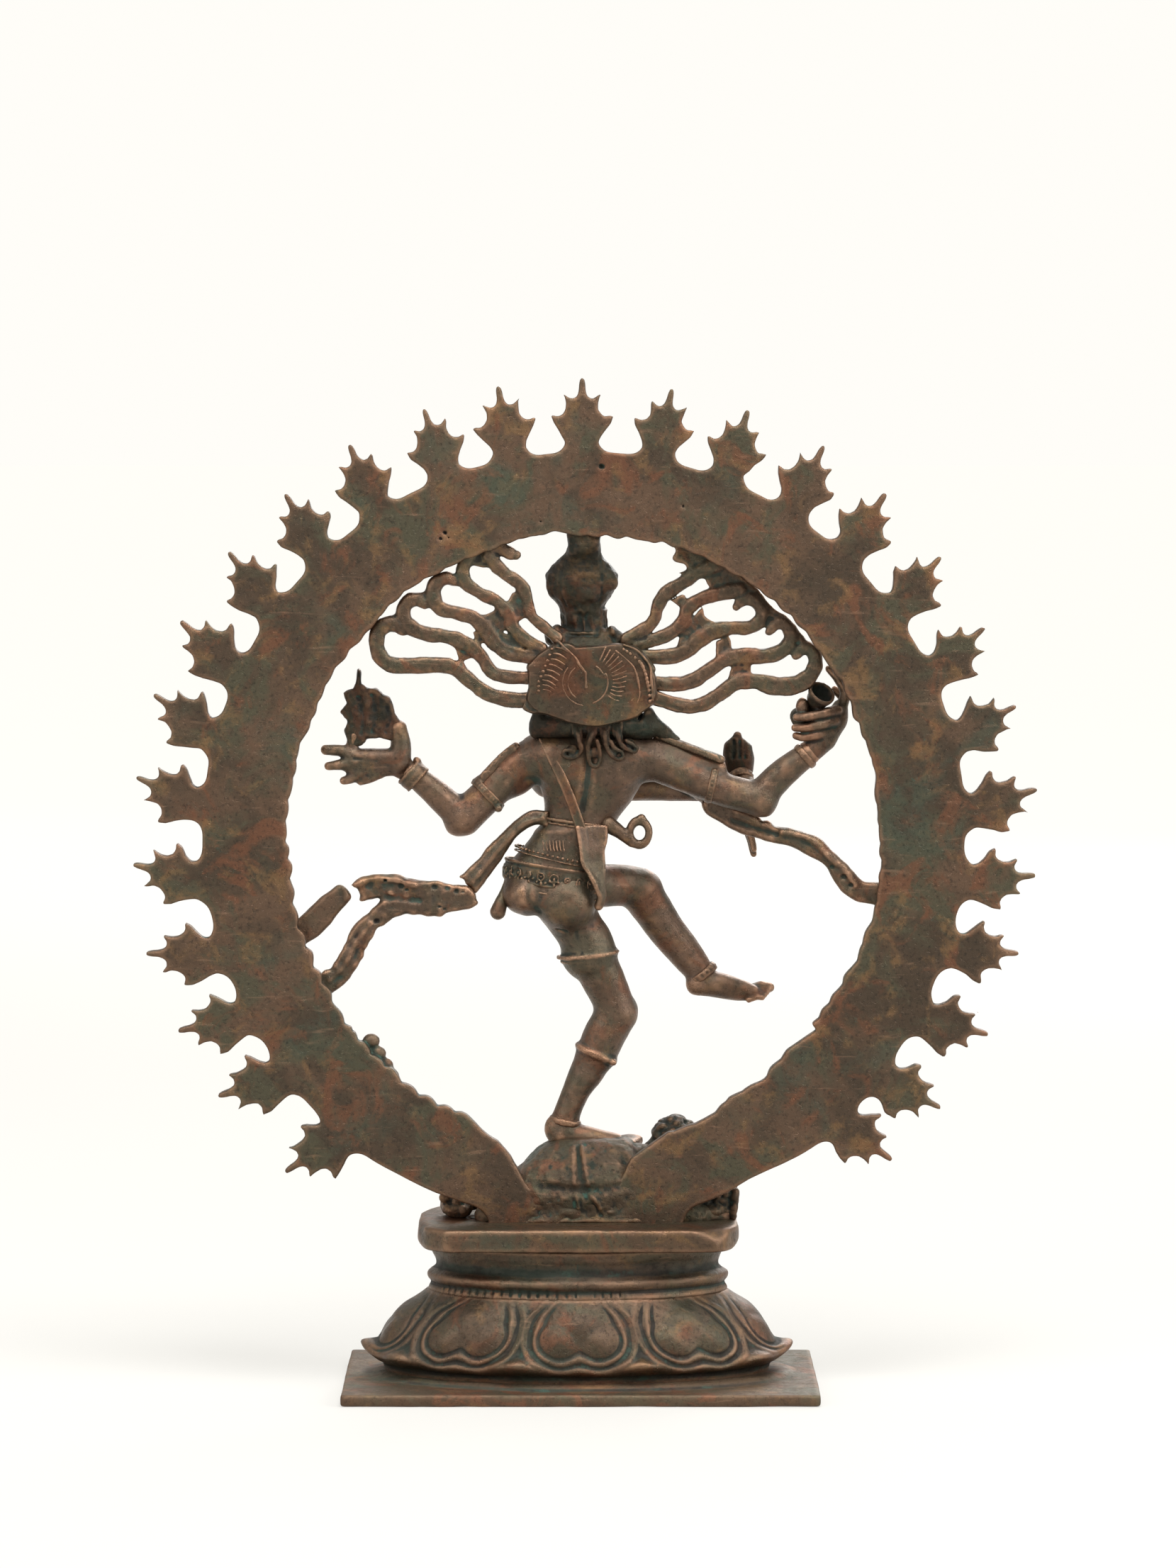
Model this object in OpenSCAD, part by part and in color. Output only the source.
// Nataraja statue in brass: a dancing four-armed figure in a ring of flames, on a lotus pedestal.
// Frame: +Z up, +Y the way the figure faces, +X to the figure's own right hand.
// The origin is at the centre of the base slab's underside. All sizes are in millimetres.

/* [Pedestal] */
// Width of the base slab
slab_w = 105.2; // [100:0.2:110]
// Depth of the base slab
slab_d = 58; // [56:1:64]
// Thickness of the base slab
slab_t = 2.7; // [2.4:0.1:3]
// Height of the lotus bell above the slab
lotus_h = 19.3; // [18.5:0.1:20]
// Height of the waisted neck above the lotus
neck_h = 10.5; // [10:0.1:11]
// Thickness of the top plate
plate_t = 5.2; // [4.8:0.1:5.4]
// Wall of the hollow castings
wall = 3; // [2.5:0.1:3.5]

/* [Flame arch] */
// Outer radius of the ring
arch_r_out = 85; // [84:0.5:86]
// Inner radius of the ring
arch_r_in = 66.8; // [66:0.2:67.5]
// Thickness of the ring
arch_t = 3.4; // [3:0.1:3.8]
// Flames on each side of the top one
flames_a_side = 13; // [12:1:13]
// Angle between two flames
flame_step = 10.8; // [10.6:0.1:10.8]
// Reach of a flame beyond the ring
flame_reach = 16.4; // [15:0.2:17]

/* [Casting] */
// Thickness of the two hair fans
hair_t = 2.8; // [2.4:0.1:3]
// Width of a lock of hair
lock_w = 3.3; // [3:0.1:3.6]
// Thickness of the ribbons and sashes
ribbon_t = 2.6; // [2.2:0.1:3]
// Sides of a modelled limb
limb_n = 12; // [10:2:14]

/* [Hidden] */

bronze = [0.42, 0.31, 0.24];
worn = [0.52, 0.38, 0.28];
dark = [0.30, 0.27, 0.22];

lotus_z = slab_t;
lotus_shift = -1.6;               // the bell and the neck sit a little to the figure's left of the slab
neck_shift = -1.5;
neck_z = lotus_z + lotus_h;
plate_z = neck_z + neck_h;
top_z = plate_z + plate_t;
oval_n = 48;

arch_drop = 87.1;                 // from the ring's centre down to the top plate
arch_z = top_z + arch_drop;
arch_back = -8.2;
arch_front = arch_back + arch_t;
flame_neck_r = arch_r_out + 2;
lean_max = 18;                    // how far the side flames lean up from the radius, in degrees
end_left = 163;                   // where the ring stops on the figure's left, from the top, in degrees
end_right = 168;
rim_w = 1.6;
rim_h = 0.8;

tenon_x = [-19, 15];
tenon_size = [5, 2.4, 5];
rivet_x = 24;
rivet_r = 1.6;
rivet_gap = 0.02;
fit_gap = 0.05;

// ---- vectors and curves ----

function unit(v) = v / norm(v);
function last(p) = p[len(p) - 1];
function xyz(s) = [s[0], s[1], s[2]];
function ease(a, b, x) = let (t = min(max((x - a) / (b - a), 0), 1)) t * t * (3 - 2 * t);

// A smooth curve through the rows of p, which may hold radii as well as coordinates
function blend4(a, b, c, d, t) =
    0.5 * (2 * b + (c - a) * t + (2 * a - 5 * b + 4 * c - d) * t * t + (3 * b - a - 3 * c + d) * t * t * t);
function smooth(p, k) = concat(
    [for (i = [0:len(p) - 2], j = [0:k - 1])
        blend4(p[max(i - 1, 0)], p[i], p[i + 1], p[min(i + 2, len(p) - 1)], j / k)],
    [last(p)]);
function heading(p, i) = unit(xyz(p[min(i + 1, len(p) - 1)]) - xyz(p[max(i - 1, 0)]));

// ---- solids made of rings of points ----

// An oval ring at station s = [x, y, z, radius across, radius along side], square to heading t
function oval(s, t, side, n) =
    let (v = unit(side - (side * t) * t), u = cross(v, t))
    [for (k = [0:n - 1]) xyz(s) + s[3] * cos(360 * k / n) * u + s[4] * sin(360 * k / n) * v];

// A closed skin over rings that all have the same number of points
module skin(rings, looped = false) {
    n = len(rings[0]);
    m = len(rings);
    spans = looped ? m : m - 1;
    sides = [for (i = [0:spans - 1], k = [0:n - 1], half = [0:1])
        let (a = i * n, b = ((i + 1) % m) * n, q = (k + 1) % n)
        half == 0 ? [a + k, b + q, a + q] : [a + k, b + k, b + q]];
    caps = looped ? [] : [[for (k = [0:n - 1]) k], [for (k = [n - 1:-1:0]) (m - 1) * n + k]];
    polyhedron([for (r = rings, p = r) p], concat(sides, caps));
}

// Two extra stations that round off an end, where t points out of the body
function cap(s, t) = [
    [s[0] + 0.45 * s[4] * t[0], s[1] + 0.45 * s[4] * t[1], s[2] + 0.45 * s[4] * t[2], 0.8 * s[3], 0.8 * s[4]],
    [s[0] + 0.7 * s[4] * t[0], s[1] + 0.7 * s[4] * t[1], s[2] + 0.7 * s[4] * t[2], 0.45 * s[3], 0.45 * s[4]]];

// A limb through stations [x, y, z, radius across, radius along side]
module limb(stations, k = 2, n = limb_n, side = [0, 1, 0], round_start = false, round_end = false) {
    path = smooth(stations, k);
    start = cap(path[0], -heading(path, 0));
    end = cap(last(path), heading(path, len(path) - 1));
    all = concat(round_start ? [start[1], start[0]] : [], path, round_end ? end : []);
    skin([for (i = [0:len(all) - 1]) oval(all[i], heading(all, i), side, n)]);
}

// A band round a limb: centre c, the way the limb runs t, its radii, and the band's width and depth
module band(c, t, ra, rb, w, d, side = [0, 1, 0], n = 20) {
    h = unit(t);
    section = [[0, -w / 2], [d, -w / 3], [d, w / 3], [0, w / 2]];
    rows = [for (q = section) oval([c[0] + q[1] * h[0], c[1] + q[1] * h[1], c[2] + q[1] * h[2],
        ra + q[0] + fit_gap, rb + q[0] + fit_gap], h, side, n)];
    skin(rows, looped = true);
}

// The outline of a ribbon of width w about the flat curve p
function ribbon_edge(p, w, sign) = [for (i = [0:len(p) - 1])
    let (a = p[max(i - 1, 0)], b = p[min(i + 1, len(p) - 1)], t = unit(b - a))
    p[i] + sign * w / 2 * [-t[1], t[0]]];
module ribbon(points, w, k = 3) {
    p = smooth(points, k);
    left = ribbon_edge(p, w, 1);
    right = ribbon_edge(p, w, -1);
    polygon(concat(left, [for (i = [len(p) - 1:-1:0]) right[i]]));
}

module flat_oval(centre, radii, n = 32) {
    polygon([for (k = [0:n - 1]) centre + [radii[0] * cos(360 * k / n), radii[1] * sin(360 * k / n)]]);
}

// A flat shape drawn in X and Z, from y0 to y1
module plate_xz(y0, y1) {
    translate([0, y1, 0])
        rotate([90, 0, 0])
            linear_extrude(y1 - y0)
                children();
}

// An oval casting round the Z axis through rows of [half width, half depth, z]
module oval_shell(rows) {
    skin([for (r = rows) oval([0, 0, r[2], r[0], r[1]], [0, 0, 1], [0, 1, 0], oval_n)], looped = true);
}

// ---- pedestal ----

module base_slab() {
    color(worn)
        difference() {
            translate([-slab_w / 2, -slab_d / 2, 0])
                cube([slab_w, slab_d, slab_t]);
            translate([0, 0, -1])
                skin([for (z = [0, slab_t + 2]) oval([0, 0, z, 37, 16], [0, 0, 1], [0, 1, 0], oval_n)]);
        }
}

// The bell of petals, hollow and open below
module lotus_pedestal() {
    foot = lotus_z;
    rim = lotus_z + 3.6;
    outer = [[43, 22, foot], [44, 22.5, rim - 1.2], [48, 25.2, rim], [47.5, 25, rim + 1.2], [44.5, 23.6, rim + 5],
        [41, 22, rim + 9.5], [36.5, 19.8, rim + 13.5], [33, 18.2, neck_z]];
    inner = [for (i = [len(outer) - 1:-1:0]) [outer[i][0] - wall - 1, outer[i][1] - wall - 1, outer[i][2]]];
    color(bronze)
        translate([lotus_shift, 0, 0])
            oval_shell(concat(outer, inner));
}

// The waist above the lotus, with a beaded roll round it and a closed top
module pedestal_neck() {
    outer = [[33, 18.2, 0], [34.4, 19, 1.4], [34.6, 19.2, 2.6], [33.4, 18.4, 4], [31.2, 17, 5.2], [31, 16.8, 7],
        [32.6, 18, 9], [33.4, 18.6, neck_h]];
    inner = [[27, 12, neck_h - wall], [27, 12, 0]];
    rows = [for (r = outer) oval([0, 0, neck_z + r[2], r[0], r[1]], [0, 0, 1], [0, 1, 0], oval_n)];
    hollow = [for (z = [-1, neck_h - wall]) oval([0, 0, neck_z + z, 27, 12], [0, 0, 1], [0, 1, 0], oval_n)];
    color(bronze)
        difference() {
            translate([neck_shift, 0, 0])
                skin(rows);
            translate([neck_shift, 0, 0])
                skin(hollow);
            rivet_holes();
        }
}

module rivet_holes() {
    for (x = [-rivet_x, rivet_x])
        translate([x, 0, neck_z])
            cylinder(r = rivet_r + rivet_gap, h = neck_h + plate_t + 1, $fn = 32);
}

// The thick oval plate that everything above stands on
module top_plate() {
    color(worn)
        difference() {
            translate([-1, 0, plate_z])
                linear_extrude(plate_t)
                    intersection() {
                        square([72.4, 40], center = true);
                        circle(r = 37.2, $fn = 96);
                    }
            rivet_holes();
            for (x = tenon_x)
                translate([x - tenon_size[0] / 2 - fit_gap, arch_back + 0.5 - fit_gap, top_z - tenon_size[2] / 2])
                    cube([tenon_size[0] + 2 * fit_gap, tenon_size[1] + 2 * fit_gap, tenon_size[2]]);
        }
}

// Rivets from the plate down into the hollow neck, with domed heads inside
module pedestal_rivets() {
    z0 = neck_z + neck_h - wall;
    color(dark)
        for (x = [-rivet_x, rivet_x])
            translate([x, 0, z0])
                union() {
                    cylinder(r = rivet_r, h = wall + plate_t, $fn = 32);
                    translate([0, 0, -1.2])
                        cylinder(r1 = 1.8, r2 = 2.8, h = 1.2, $fn = 32);
                }
}

// ---- the dwarf and the ground under the dancer ----

module rocky_mound() {
    rows = [[23, 8.7, 0], [22.6, 8.5, 1.2], [21, 7.8, 2.1]];
    color(dark)
        skin([for (r = rows) oval([1, 4, top_z + r[2], r[0], r[1]], [0, 0, 1], [0, 1, 0], 32)]);
}

// Rough filler metal along the back, between the two ends of the arch
module braze_seam() {
    rows = [[10.6, 3.2, 0], [10.2, 3.0, 0.9], [9, 2.2, 1.8]];
    color(dark)
        skin([for (r = rows) oval([-3, arch_back - 0.2, top_z + r[2], r[0], r[1]], [0, 0, 1], [0, 1, 0], 24)]);
}

module dwarf_body() {
    color(bronze)
        limb([[-13, 3, 46, 5, 4.8], [-8, 1.5, 47.2, 8, 6.8], [-2, 1, 47.7, 9.2, 7.2], [4, 1.4, 47.5, 9.2, 6.9],
            [9, 4.6, 47.2, 7.6, 6], [13, 6, 48, 5.2, 4.6]], side = [0, 0, 1], n = 16, round_start = true);
}

module dwarf_head() {
    color(dark)
        limb([[14.2, 6.6, 49.4, 3.4, 3.4], [17, 7.6, 52, 4.2, 4.4], [20.4, 8.4, 54.4, 5.2, 5.2], [24, 9.2, 56, 4, 4]],
            side = [0, 0, 1], n = 16, round_end = true);
}

module dwarf_legs() {
    color(bronze)
        limb([[-12.5, 6, 44.6, 4.4, 4.2], [-18, 7.6, 44, 3.8, 3.8], [-23, 6.4, 42.4, 3, 3.2],
            [-27, 4.4, 40.6, 2.4, 2.7], [-31, 3.4, 40, 2.4, 2.2]], side = [0, 0, 1], round_end = true);
}

module dwarf_arms() {
    color(bronze)
        limb([[9, 11, 45, 2.6, 2.6], [13, 13.4, 42.6, 2.4, 2.4], [18, 13.6, 41, 2.2, 2.2], [23, 11, 40.6, 2, 2]],
            side = [0, 0, 1], n = 10, round_end = true);
}

// The snake beside the dwarf, coiled on the plate with its hood raised
module cobra() {
    color(dark)
        limb([[24, 2.6, 39.4, 1.6, 1.6], [30, 6.4, 39.4, 1.8, 1.6], [33.4, 2.4, 39.6, 1.9, 1.7],
            [30.6, -0.6, 41.2, 1.9, 2], [31, 0.2, 44.4, 2.6, 1.4], [31.4, 1.6, 46.6, 1.6, 1.2]],
            n = 10, side = [0.2, 0.3, 1], round_end = true);
}

// ---- the ring of flames ----

function arch_point(r, a) = [r * sin(a), arch_z + r * cos(a)];
function ring_outer(a) = arch_r_out + 2.2 * ease(115, 150, abs(a));
function ring_inner(a) = arch_r_in + 2.6 * ease(110, 160, abs(a)) + 0.35 * sin(23 * a) + 0.25 * sin(37 * a + 40);

module ring_shape() {
    outer = [for (a = [-end_left:4:end_right]) arch_point(ring_outer(a), a)];
    inner = [for (a = [end_right - 6:-3:-end_left]) arch_point(ring_inner(a), a)];
    right_end = [[12, top_z], [8.4, top_z], [9.4, 49]];
    left_end = [[-17.4, 53], [-15.6, 48], [-14.4, top_z], [-22, top_z]];
    polygon(concat(outer, right_end, inner, left_end));
}

// One flame with five points, drawn upwards from its root at the origin
module flame_shape() {
    h = flame_reach;
    side = [[4.6, -1.2], [4.3, 0.8], [5.4, 3.8], [6.75, 6.4], [4.4, 7.2], [3.7, 10.6], [1.3, 10.5], [0.6, 13]];
    polygon(concat(side, [[0, h - 2]], [for (i = [len(side) - 1:-1:0]) [-side[i][0], side[i][1]]]));
}

function flame_lean(i) = lean_max * ease(0, 6, abs(i)) * sign(i);

module arch_ring() {
    color(bronze)
        difference() {
            plate_xz(arch_back, arch_front)
                ring_shape();
            translate([-30, arch_back - 1, top_z - 10])
                cube([60, arch_t + 2, 10]);
        }
}

module arch_flames() {
    color(bronze)
        plate_xz(arch_back, arch_front)
            for (i = [-flames_a_side:flames_a_side])
                difference() {
                    translate(arch_point(flame_neck_r, i * flame_step))
                        rotate(-i * flame_step + flame_lean(i))
                            flame_shape();
                    translate([0, arch_z])
                        circle(r = ring_outer(i * flame_step), $fn = 180);
                }
}

// Raised rims along the front face of the ring
module arch_rims() {
    span = 140;
    color(worn)
        plate_xz(arch_front, arch_front + rim_h)
            intersection() {
                polygon(concat([[0, arch_z]], [for (a = [-span:10:span]) arch_point(arch_r_out + 10, a)]));
                for (r = [arch_r_in + 2.4, arch_r_out - 1.6])
                    translate([0, arch_z])
                        difference() {
                            circle(r = r + rim_w / 2, $fn = 180);
                            circle(r = r - rim_w / 2, $fn = 180);
                        }
            }
}

module arch_tenons() {
    color(dark)
        for (x = tenon_x)
            translate([x - tenon_size[0] / 2, arch_back + 0.5, top_z - tenon_size[2] / 2 + fit_gap])
                cube([tenon_size[0], tenon_size[1], tenon_size[2] / 2 - fit_gap]);
}

module crown_strut() {
    color(bronze)
        plate_xz(-6.8, -4)
            polygon([[-3.4, 183], [-4, 186.4], [-3.8, 192.4], [3.4, 192.4], [3.4, 186.4], [2.4, 183]]);
}

// ---- the dancer's body ----

module hips() {
    color(bronze)
        limb([[-7.4, 2.6, 106.2, 8.2, 5.6], [-7.2, 2.2, 108.4, 10.2, 7], [-7, 2.2, 112, 11, 7.3],
            [-6.4, 2.4, 117, 10.6, 6.6], [-4.8, 2.6, 121, 8.9, 5.9], [-2.4, 2.8, 124.6, 8, 5.3]], n = 20);
}

module torso() {
    color(bronze)
        limb([[-2.4, 2.8, 124.6, 8, 5.3], [-0.6, 2.9, 128, 8.5, 5.4], [1, 2.8, 132, 10, 6], [1.4, 2.6, 137, 12.2, 6.7],
            [1.2, 2.6, 142, 13.8, 6.4], [1.2, 3, 145.4, 12.2, 5.2], [1.2, 3.4, 148, 7.6, 4]], n = 20);
}

module neck() {
    color(bronze)
        limb([[1.2, 3.6, 148, 4.2, 4], [1.2, 4, 150.2, 3.8, 3.7], [1.2, 4.2, 152, 3.8, 3.8]], n = 16);
}

module head() {
    color(bronze)
        limb([[1.2, 4.6, 151.6, 3.4, 3.8], [1.2, 5, 153.4, 5, 6], [1.2, 4.8, 157, 6.4, 7.4], [1.2, 4.4, 162, 6.8, 7.8],
            [1.2, 4.2, 166, 6.2, 7], [1.2, 3.6, 168.6, 5.2, 5.4]], n = 20);
}

module crown() {
    color(dark)
        limb([[1, 3.4, 168.6, 5.2, 5.2], [0.4, 3, 171.4, 5.4, 5.2], [-0.2, 2.4, 174, 6.4, 6], [-0.7, 1.8, 179, 8.3, 6.8],
            [-0.8, 1.2, 183, 6.8, 5.2], [-0.6, 0.6, 187, 4, 3.6]], n = 16, round_end = true);
}

module ear_rings() {
    color(worn)
        for (s = [-1, 1])
            translate([1.2 + s * 7.6, 4.6, 154])
                rotate([0, 90, 0])
                    rotate_extrude($fn = 32)
                        translate([1.7, 0])
                            circle(r = 0.6, $fn = 16);
}

// ---- hair ----

hair_left = [
    [[-11.7, 154.2], [-16, 154.5], [-21, 155.7], [-24.7, 157.9], [-27.8, 160.6], [-31.5, 162.2], [-38.3, 161.9],
        [-43.2, 161.6], [-46, 163.7], [-46.8, 166.8], [-45.7, 169.9], [-43.5, 171], [-41.7, 169.3], [-41, 166.8]],
    [[-12.3, 158.8], [-16, 159.1], [-19.7, 160.3], [-22.5, 163.7], [-25.9, 166.8], [-30.2, 168.4], [-35.2, 169],
        [-38.6, 170.8], [-40, 173.6], [-38.9, 176.4], [-36.7, 176.7], [-35.2, 174.8]],
    [[-13, 163.1], [-16, 163.7], [-19.1, 165.6], [-21.6, 169.3], [-24.1, 171.8], [-27.8, 173], [-31.5, 174.2],
        [-33.3, 176.7], [-33, 179.8], [-30.9, 181.3], [-29, 180.1]],
    [[-11.1, 166.2], [-13.6, 168.1], [-15.7, 170.5], [-16, 173.6], [-18.5, 176.7], [-22.2, 178.5], [-25.3, 180.4],
        [-26.2, 183.5], [-24.7, 186.3]],
    [[-7.4, 168.1], [-9.9, 171.1], [-12, 173.6], [-12.7, 177.9], [-14.2, 180.1], [-17.3, 181.9], [-19.7, 184.7],
        [-20.4, 186.6], [-17.9, 189], [-14.8, 187.5]]];
hair_right = [
    [[15.5, 153.9], [22.2, 152.4], [27.4, 153.2], [31.8, 155.8], [35.5, 157.6], [40, 157.3], [45.2, 156.1],
        [49.6, 156.9], [51.7, 160.6], [52.2, 163.5], [50.3, 165.8], [47.4, 165.4], [46.3, 163.6]],
    [[15.5, 157.6], [20.7, 157.3], [25.2, 159.1], [28.9, 162.1], [32.6, 163.9], [37, 163.2], [42.2, 163.2],
        [45.5, 165], [46.3, 168.7], [44.4, 171], [41.5, 171], [40.3, 168.7]],
    [[15.2, 163.2], [20.7, 163.9], [24.4, 166.1], [27.4, 168.4], [31.1, 169.5], [36.3, 169.5], [39.2, 171.7],
        [40, 174.7], [38.1, 177.3], [35.5, 176.5], [34.8, 174.7]],
    [[14.1, 166.9], [18.5, 168.7], [21.5, 171], [23.3, 174.7], [26.6, 176.5], [30.3, 177.6], [34, 178]],
    [[11.1, 168], [14.8, 170.2], [16.6, 173.9], [17.8, 177.3], [21.5, 179.8], [25.2, 182.4], [28.9, 183.5]]];
// The arcs along the hair disc that the locks of each fan spring from
root_left = [[-10.4, 152.4], [-12.8, 156], [-13.2, 160.5], [-10.8, 166], [-6.6, 168.8]];
root_right = [[13.4, 152.8], [16.4, 156], [16.6, 160.5], [14.6, 165.4], [10.6, 168.8]];
// Metal between the locks, as [x, z] outlines
webs_left = [[[-20, 172], [-15.5, 171], [-12, 166], [-14, 164.5], [-19, 166]]];
webs_right = [[[20, 178], [25, 183.5], [33, 184.5], [38, 180], [46, 173], [52, 166], [52, 163], [44, 170], [38, 176],
    [30, 177]]];

// The two offsets close the slits where locks only just touch
module hair_fan(locks, root, webs) {
    offset(delta = -0.3)
        offset(delta = 0.3) {
            for (l = locks)
                ribbon(l, lock_w);
            ribbon(root, 2, k = 2);
            for (w = webs)
                polygon(w);
        }
}

module hair_fan_left() {
    color(worn)
        plate_xz(-7, -7 + hair_t)
            hair_fan(hair_left, root_left, webs_left);
}

module hair_fan_right() {
    color(worn)
        plate_xz(arch_front + fit_gap, arch_front + fit_gap + hair_t)
            hair_fan(hair_right, root_right, webs_right);
}

// The shell of hair behind the head that both fans spring from
module hair_disc() {
    color(bronze)
        limb([[2, -4.2, 158.7, 12.6, 8], [2, -6, 158.7, 14.2, 9.3], [2, -8.2, 158.7, 12.4, 7.9],
            [2, -9.2, 158.7, 7.6, 4.6]], k = 1, n = 32, side = [0, 0, 1]);
}

module nape_curls() {
    tips = [[-7, 144.4], [-3.2, 142.4], [1.9, 140.4], [7.3, 142], [11.2, 144]];
    color(dark)
        for (p = tips)
            limb([[1.4 + 0.25 * (p[0] - 1.4), -4.6, 149.6, 1.1, 0.9], [(1.4 + p[0]) / 2, -5, (150.6 + p[1]) / 2, 1.2, 0.9],
                [p[0], -4.7, p[1], 1.3, 0.9]], n = 8, round_end = true);
}

// ---- legs ----

module standing_leg() {
    color(bronze)
        limb([[-3.6, 3.2, 107, 6, 5.8], [-1.2, 3.6, 101, 6.2, 5.8], [1.6, 4, 95.5, 5.9, 5.6], [5.2, 4.8, 88, 4.9, 5],
            [7.1, 5.6, 83, 4.8, 4.9], [4.6, 5.2, 78, 4.8, 4.7], [2, 4.8, 72, 4.4, 4.3], [-1.4, 4.4, 66.6, 3.2, 3.2],
            [-3.6, 4.2, 61.6, 3, 3], [-4.4, 4.2, 58.6, 3.2, 3.3]], k = 1);
}

module standing_foot() {
    color(bronze)
        limb([[-7, 3.4, 56.4, 2.6, 2.2], [-3.6, 4.2, 56.9, 3.2, 2.9], [1, 5.2, 56.4, 3.2, 2.3], [6, 7, 55.6, 3.3, 1.6],
            [10.4, 8.8, 55.2, 3, 1.1]], side = [0, 0, 1], round_start = true, round_end = true);
}

module raised_leg() {
    color(bronze)
        limb([[-2, 9, 112.4, 5.6, 5.4], [5, 11.6, 112.2, 5.3, 5.2], [10.6, 13.6, 111.4, 5.1, 5],
            [14.6, 14.8, 109.4, 5.2, 4.9], [19.4, 15, 102, 4.6, 4.6], [24.6, 14.6, 95.2, 4, 4],
            [27.6, 14.2, 90.8, 3.1, 3.1]], k = 1);
}

module raised_foot() {
    color(bronze)
        limb([[26.6, 13, 89, 2.5, 2.4], [30.4, 13.8, 89.4, 2.9, 2.8], [34.6, 15, 88.6, 2.9, 2.3],
            [38.6, 16, 87.8, 2.8, 1.6], [41.4, 16.6, 88.2, 2.3, 1.2]], side = [0, 0, 1], round_start = true, round_end = true);
}

// ---- arms and hands ----

module left_rear_arm() {
    color(bronze)
        limb([[-10, 2, 142.4, 4.3, 4.4], [-15.4, 1.5, 139.4, 4.2, 4.2], [-21, 1, 133.6, 3.9, 3.9],
            [-27.2, 0.3, 127.8, 4.2, 4], [-33, -0.3, 132.8, 3.4, 3.3], [-38.4, -0.6, 137.6, 2.8, 2.8]], k = 1);
}

module right_rear_arm() {
    color(bronze)
        limb([[12, 2, 142, 4.5, 4.6], [18, 1.5, 140.2, 4.2, 4.3], [28.6, 1, 135.8, 3.7, 3.8], [40.2, 0.2, 133, 4, 3.8],
            [45.4, -0.2, 137.6, 3.3, 3.3], [50.6, -0.6, 142.2, 2.7, 2.7]], k = 1);
}

module left_front_arm() {
    color(bronze)
        limb([[-9.6, 5, 142, 4.2, 4.2], [-11, 9, 138.8, 3.9, 4], [-7.6, 12.8, 135.4, 3.7, 3.7], [4, 13.8, 134.4, 3.6, 3.6],
            [18, 13.8, 134, 3.2, 3.1], [29, 13.4, 133, 2.5, 2.4]], k = 1, side = [0, 0.2, 1]);
}

module right_front_arm() {
    color(bronze)
        limb([[11, 6.4, 142, 4, 4.2], [20, 8.4, 140.2, 3.8, 3.8], [29, 9.4, 135, 3.6, 3.6], [36.6, 9.8, 129.6, 3.7, 3.7],
            [36, 14, 133, 2.9, 3], [35.4, 17, 136, 2.5, 2.5]], k = 1, side = [0.3, 0.3, 1]);
}

// A hand: an oval palm from wrist to knuckles, then one limb for each finger
module hand(palm, fingers, side = [0, 1, 0]) {
    limb(palm, side = side, n = 10, round_end = true);
    for (f = fingers)
        limb(f, k = 1, n = 8, side = side, round_end = true);
}

module left_rear_hand() {
    color(dark)
        hand([[-38.6, -0.6, 137.8, 2.6, 2.2], [-42.6, -0.8, 138.8, 3.6, 2], [-47, -1, 139.4, 4, 1.9],
            [-51, -1, 139.4, 4.2, 1.8]],
            [[[-51, -1, 142.2, 1.5, 1.3], [-54.6, -1, 143, 1.4, 1.2], [-57.2, -0.6, 143.4, 1, 0.9]],
             [[-51, -1, 139.8, 1.5, 1.3], [-54, -1.2, 139.4, 1.4, 1.2], [-56.6, -1, 139.2, 1, 0.9]],
             [[-49.6, -1, 137.6, 1.5, 1.3], [-51.8, -1, 136.6, 1.4, 1.2], [-53.8, -0.8, 135.4, 1, 0.9]],
             [[-41.6, -0.8, 140, 1.8, 1.5], [-40.8, -0.8, 144.4, 1.6, 1.4], [-41, -0.6, 148, 1.2, 1.1]]]);
}

module fire_flame() {
    outline = [[-53.4, 143.6], [-54.2, 149.6], [-55.8, 152.6], [-54, 153.4], [-54.8, 156.4], [-52.4, 157], [-51.2, 161.4],
        [-49.8, 157.8], [-45.8, 157.2], [-43.2, 154], [-42.4, 149.6], [-42, 145.6], [-45, 146.2], [-49.4, 146]];
    color(dark)
        plate_xz(-2, 1)
            polygon(outline);
}

module right_rear_hand() {
    color(dark)
        hand([[50.6, -0.6, 142.2, 2.6, 2.4], [53.4, 0, 146, 3.4, 2.6], [55.6, 0.6, 150.4, 3.2, 2.6]],
            [[[54, -2.4, 151.4, 1.1, 1.2], [50.4, -3.6, 150.8, 1.1, 1.1], [48.2, -2.6, 150.6, 0.9, 0.9]],
             [[54, -2.4, 148.8, 1.1, 1.2], [50.4, -3.4, 148, 1.1, 1.1], [48, -2.2, 147.8, 0.9, 0.9]],
             [[57.2, 0.4, 151, 1.2, 1.2], [57.4, 0, 154.6, 1.1, 1.1], [56, -0.6, 157, 0.9, 0.9]]]);
}

// The hourglass drum, its mouths open
module drum() {
    half = [[0, -0.1], [1.5, -0.1], [2, 2], [3.3, 5], [2.7, 5], [1.2, 1.4], [0, 1]];
    color(dark)
        translate([51.4, 0.4, 153])
            rotate([-46, 0, -160])
                for (m = [0, 1])
                    mirror([0, 0, m])
                        rotate_extrude($fn = 32)
                            polygon(half);
}

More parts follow.
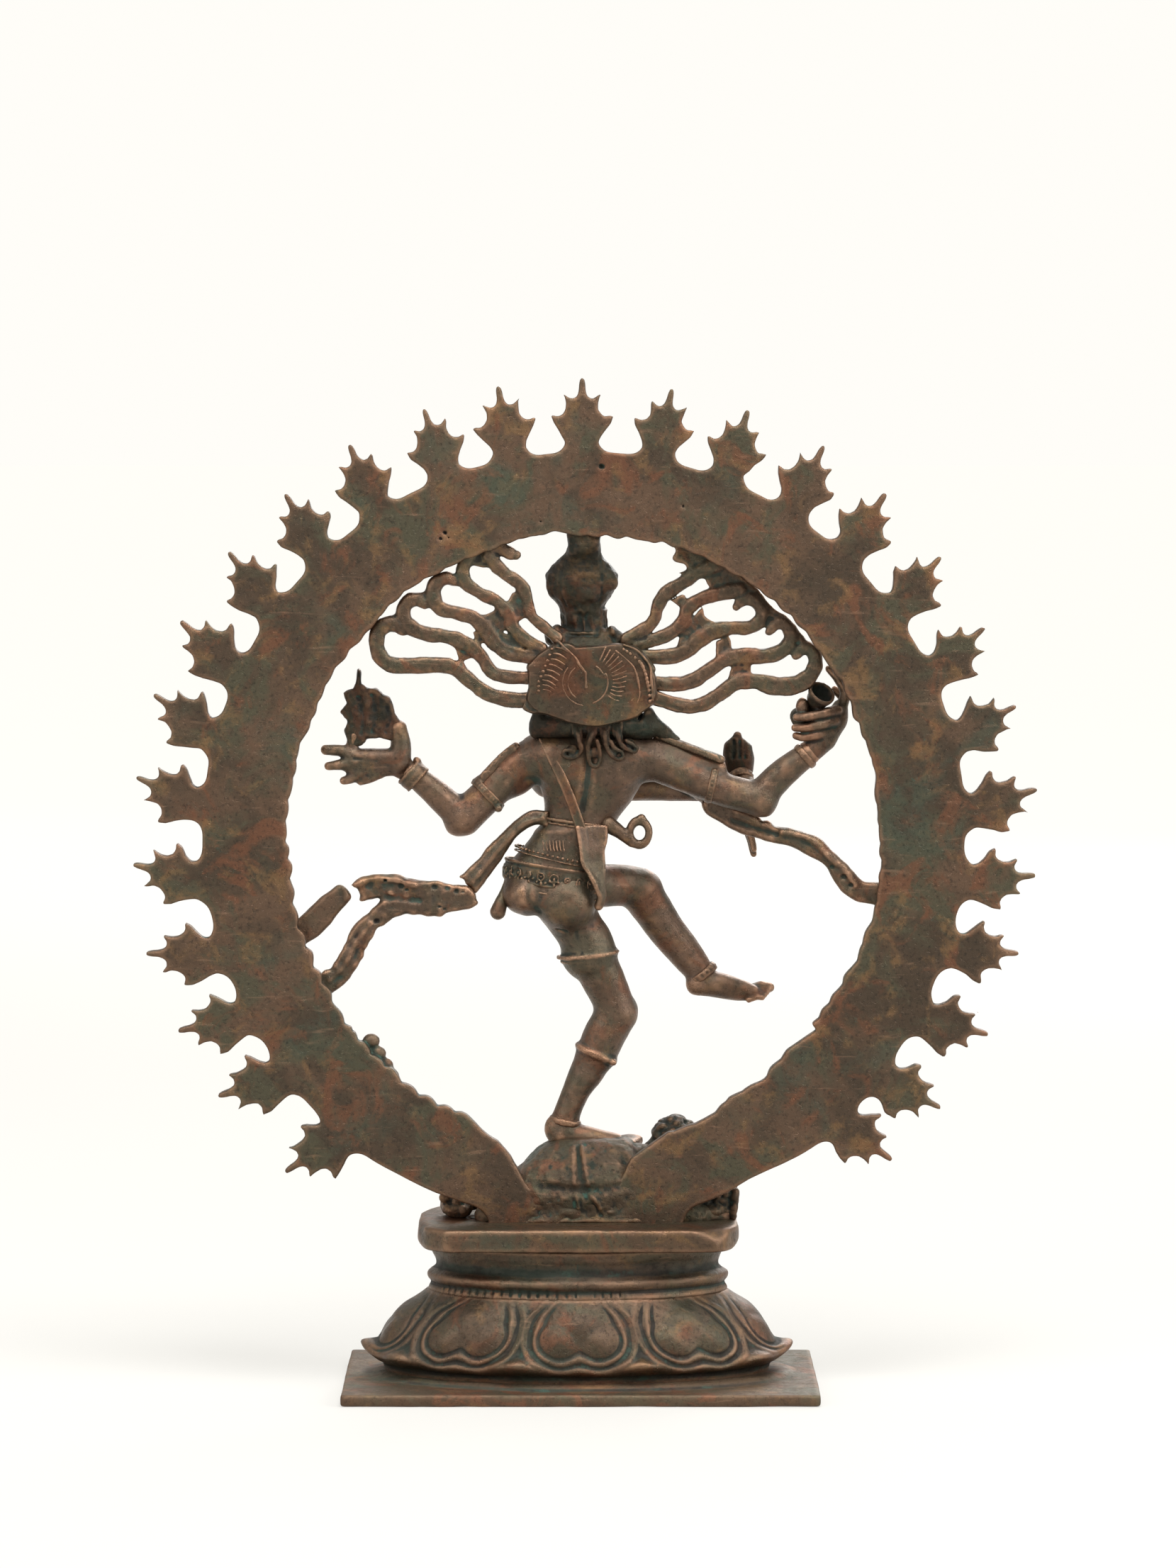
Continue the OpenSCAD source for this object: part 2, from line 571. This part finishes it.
module left_front_hand() {
    color(bronze)
        hand([[28.8, 13.4, 133, 2.2, 2.4], [32.6, 13.2, 131.6, 2, 3], [35.4, 13, 128.4, 1.8, 3]],
            [[[35.2, 15, 127.4, 1, 1], [36.4, 15.2, 123.8, 0.9, 0.9], [37.2, 15.2, 120.8, 0.7, 0.7]],
             [[36, 13.2, 127, 1, 1], [38.2, 13, 122.8, 0.9, 0.9], [39.2, 12.8, 119.2, 0.7, 0.7]],
             [[35.6, 11.4, 127.2, 1, 1], [37, 11, 123.6, 0.9, 0.9], [37.8, 10.8, 120.8, 0.7, 0.7]]]);
}

module right_front_hand() {
    color(dark)
        hand([[35.2, 17, 136, 2.4, 1.8], [35, 17.6, 139, 3.3, 1.6], [34.8, 17.8, 141.4, 3.3, 1.5]],
            [for (i = [-1.5:1:1.5])
                [[34.8 + 1.6 * i, 17.8, 141.8, 0.9, 1], [34.8 + 1.5 * i, 17.8, 144.6, 0.8, 0.9],
                    [34.8 + 1.35 * i, 17.6, 146.4 - 0.5 * abs(i), 0.7, 0.8]]]);
}

// ---- ornaments ----

module necklace() {
    color(worn)
        band([1.2, 3.6, 146.6], [0, 0.5, 1], 9.2, 5.2, 2, 0.8);
}

// The cord that crosses the back from the left shoulder to the waist
module sacred_thread() {
    color(worn)
        limb([[-7.6, -1.8, 145.6, 1, 0.6], [-5.4, -3.9, 140, 1.1, 0.6], [-3.2, -3.8, 133.6, 1.1, 0.6],
            [-1.6, -2.9, 127.6, 1.2, 0.6]], n = 8);
}

module waist_belt() {
    color(worn)
        band([-0.6, 2.8, 127.2], [0.2, 0, 1], 8.6, 5.4, 1.8, 0.7);
}

module hip_belt() {
    color(worn)
        band([-6.5, 2.3, 114.4], [0.16, 0, 1], 11, 7.1, 4.6, 0.8, n = 28);
}

// The end of the sash that hangs over the right hip at the back
module back_drape() {
    color(worn)
        limb([[1.4, -2.8, 126, 1.2, 0.6], [2.6, -3.5, 121, 1.7, 0.7], [3.2, -3.6, 115, 1.8, 0.7],
            [2.8, -3.4, 109, 1.3, 0.6]], n = 8);
}

module armlets() {
    color(worn) {
        band([-21.4, 1, 133.2], [-0.72, 0, -0.68], 3.9, 3.9, 2, 0.8);
        band([28.6, 1, 135.8], [0.93, 0, -0.36], 3.7, 3.8, 2, 0.8);
    }
}

module bracelets() {
    color(worn) {
        band([-38, -0.6, 137.2], [-0.74, 0, 0.67], 2.85, 2.85, 1.8, 0.8);
        band([50, -0.5, 141.7], [0.75, 0, 0.66], 2.75, 2.75, 1.8, 0.8);
    }
}

module leg_bands() {
    color(worn) {
        band([1.4, 4, 95.9], [-0.46, 0, 0.89], 5.95, 5.65, 1.4, 0.8);
        band([2.6, 4.9, 73.6], [0.42, 0, 0.9], 4.5, 4.4, 1.8, 0.9);
    }
}

module anklets() {
    color(worn) {
        band([-4.3, 4.2, 59.2], [0.25, 0, 1], 3.2, 3.3, 1.4, 0.7);
        band([27.4, 14.2, 91], [-0.6, 0, 0.8], 3.2, 3.2, 1.4, 0.7);
    }
}

// ---- sashes ----

module waist_loop() {
    eye = [12.6, 123.9];
    color(worn)
        plate_xz(-1.6, 0.6)
            difference() {
                union() {
                    flat_oval(eye, [2.8, 3.6]);
                    translate([6.6, 124.4])
                        square([4, 2.4]);
                }
                flat_oval(eye, [1.55, 1.85]);
            }
}

module waist_ribbon() {
    color(worn)
        plate_xz(-1.2, -1.2 + ribbon_t)
            ribbon([[-8.8, 127.8], [-11.4, 127.6], [-14.7, 125.5], [-18.2, 121.2], [-22.2, 116.5], [-25.7, 112.7]], 4.6);
}

module forked_sash() {
    color(worn)
        plate_xz(-2.4, -2.4 + ribbon_t) {
            ribbon([[-24.8, 110], [-29.6, 109.3], [-34.9, 109.5], [-40.2, 111.2], [-45.5, 112.6], [-49.6, 112.2],
                [-51.8, 110.8]], 4.8);
            ribbon([[-38.5, 109.6], [-43.9, 107.4], [-48.2, 104], [-50.8, 99.5], [-53.5, 94.4], [-56.2, 90.4],
                [-58.8, 87.4]], 4.4);
        }
}

module sash_stub() {
    color(worn)
        plate_xz(arch_front, arch_front + ribbon_t)
            ribbon([[-64, 101.4], [-58.5, 106.6], [-53.6, 111.1]], 4.8, k = 1);
}

module shawl_band() {
    color(worn)
        limb([[27.5, 7.4, 126.4, 2, 1.2], [33, 6, 126, 2.4, 1.4], [38, 4.2, 125.2, 2.4, 1.4], [43, 2, 123.8, 2.4, 1.3],
            [48.2, 0.4, 121.8, 2.3, 1.3],
            [53.1, -1, 119.4, 2.2, 1.3], [56.6, -2, 115.4, 2.2, 1.3], [59.8, -2.8, 111.9, 2.2, 1.3],
            [63.6, -3.2, 110.3, 2.2, 1.3], [67.4, -3.3, 110.3, 2.2, 1.3]], n = 10);
}

module sash_tail() {
    color(dark)
        limb([[-16.8, 0, 113, 1.2, 1], [-18.6, -0.6, 109, 1.4, 1.2], [-19.6, -0.8, 106.6, 1.6, 1.3]],
            n = 10, round_end = true);
}

base_slab();
lotus_pedestal();
pedestal_neck();
top_plate();
pedestal_rivets();
rocky_mound();
braze_seam();
dwarf_body();
dwarf_head();
dwarf_legs();
dwarf_arms();
cobra();
arch_ring();
arch_flames();
arch_rims();
arch_tenons();
crown_strut();
hips();
torso();
neck();
head();
crown();
ear_rings();
hair_disc();
nape_curls();
hair_fan_left();
hair_fan_right();
standing_leg();
standing_foot();
raised_leg();
raised_foot();
left_rear_arm();
left_rear_hand();
fire_flame();
right_rear_arm();
right_rear_hand();
drum();
left_front_arm();
left_front_hand();
right_front_arm();
right_front_hand();
necklace();
sacred_thread();
waist_belt();
hip_belt();
back_drape();
armlets();
bracelets();
leg_bands();
anklets();
waist_loop();
waist_ribbon();
forked_sash();
sash_stub();
shawl_band();
sash_tail();
